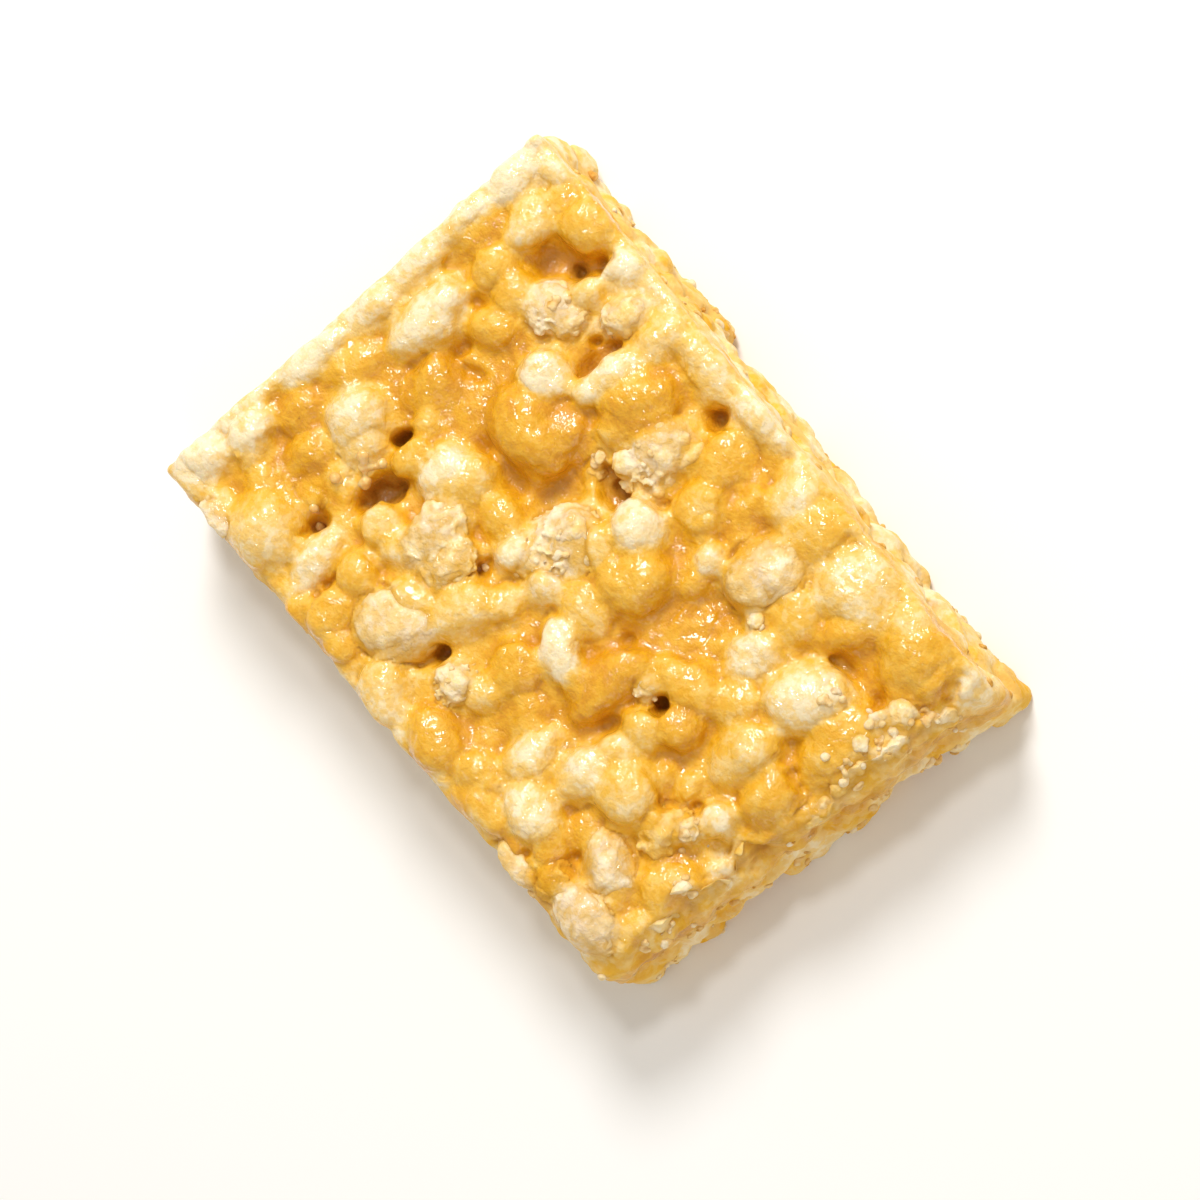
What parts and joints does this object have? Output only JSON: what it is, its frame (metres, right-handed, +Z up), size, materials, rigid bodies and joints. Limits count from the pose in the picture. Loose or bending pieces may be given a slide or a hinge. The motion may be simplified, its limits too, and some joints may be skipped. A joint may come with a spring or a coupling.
{
  "type": "marshmallow treat bar",
  "caption": "Knife-cut rectangular bar of puffed cereal grains bound and glazed with melted marshmallow, lying flat.",
  "frame": {"origin": "middle of the bar's box in plan, on the flat underside", "axes": "+X along the bar's length towards its wider end, +Y across it, +Z up out of the glazed top face"},
  "size_m": [0.0806, 0.0582, 0.0172],
  "materials": {
    "glazed_grain": "puffed grains under a glossy golden coat of melted marshmallow and butter",
    "dry_grain": "bare cream puffed grain, matte and finely porous where it is broken",
    "crumb": "small dry crumbs of broken grain along the cut walls",
    "marshmallow_strand": "thin pulled strands and webs of melted marshmallow, glossy and translucent"
  },
  "bodies": {
    "root": {"treat_bar": "glazed_grain"}
  },
  "joints": []
}
